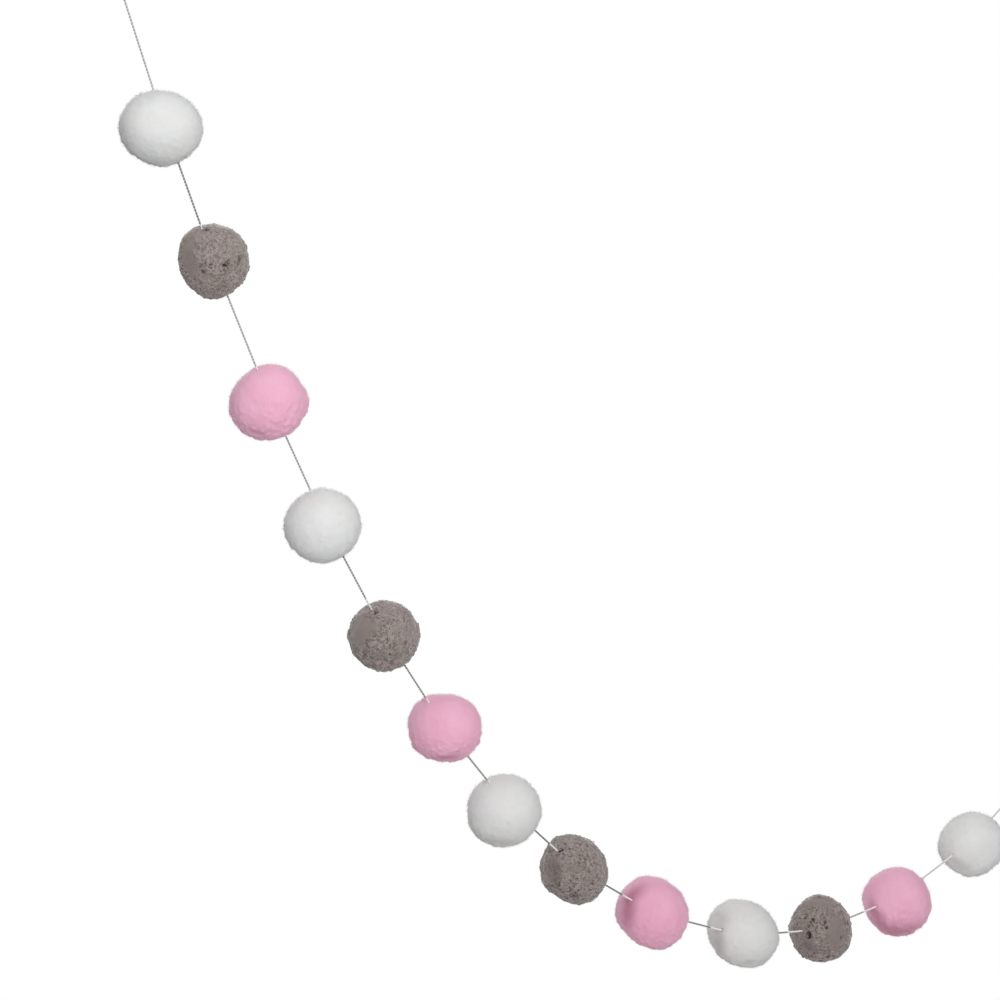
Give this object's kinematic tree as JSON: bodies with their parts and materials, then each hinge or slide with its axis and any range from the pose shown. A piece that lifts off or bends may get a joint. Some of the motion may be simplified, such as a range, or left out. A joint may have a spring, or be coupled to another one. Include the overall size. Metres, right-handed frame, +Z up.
{
  "type": "felt ball garland",
  "caption": "Hand-rolled felt balls in white, taupe and pink, spaced along a twisted cotton thread that hangs in a curve, with a tied hanging loop at each end.",
  "frame": {"origin": "top of the tied loop at the left, high end, where a hook holds it", "axes": "+X along the garland's run, from the left end to the right end; +Z up; the garland hangs in the XZ plane"},
  "size_m": [0.5079, 0.0272, 0.3728],
  "materials": {
    "white_felt": "matte wool felt, fuzzy",
    "taupe_felt": "matte wool felt, nubbly and curly",
    "pink_felt": "matte wool felt, fuzzy",
    "cotton_thread": "twisted two-ply cotton, matte"
  },
  "bodies": {
    "root": {"thread": "cotton_thread", "end_loop_left": "cotton_thread", "end_loop_right": "cotton_thread", "ball_01_white": "white_felt", "ball_02_taupe": "taupe_felt", "ball_03_pink": "pink_felt", "ball_04_white": "white_felt", "ball_05_taupe": "taupe_felt", "ball_06_pink": "pink_felt", "ball_07_white": "white_felt", "ball_08_taupe": "taupe_felt", "ball_09_pink": "pink_felt", "ball_10_white": "white_felt", "ball_11_taupe": "taupe_felt", "ball_12_pink": "pink_felt", "ball_13_white": "white_felt"}
  },
  "joints": []
}
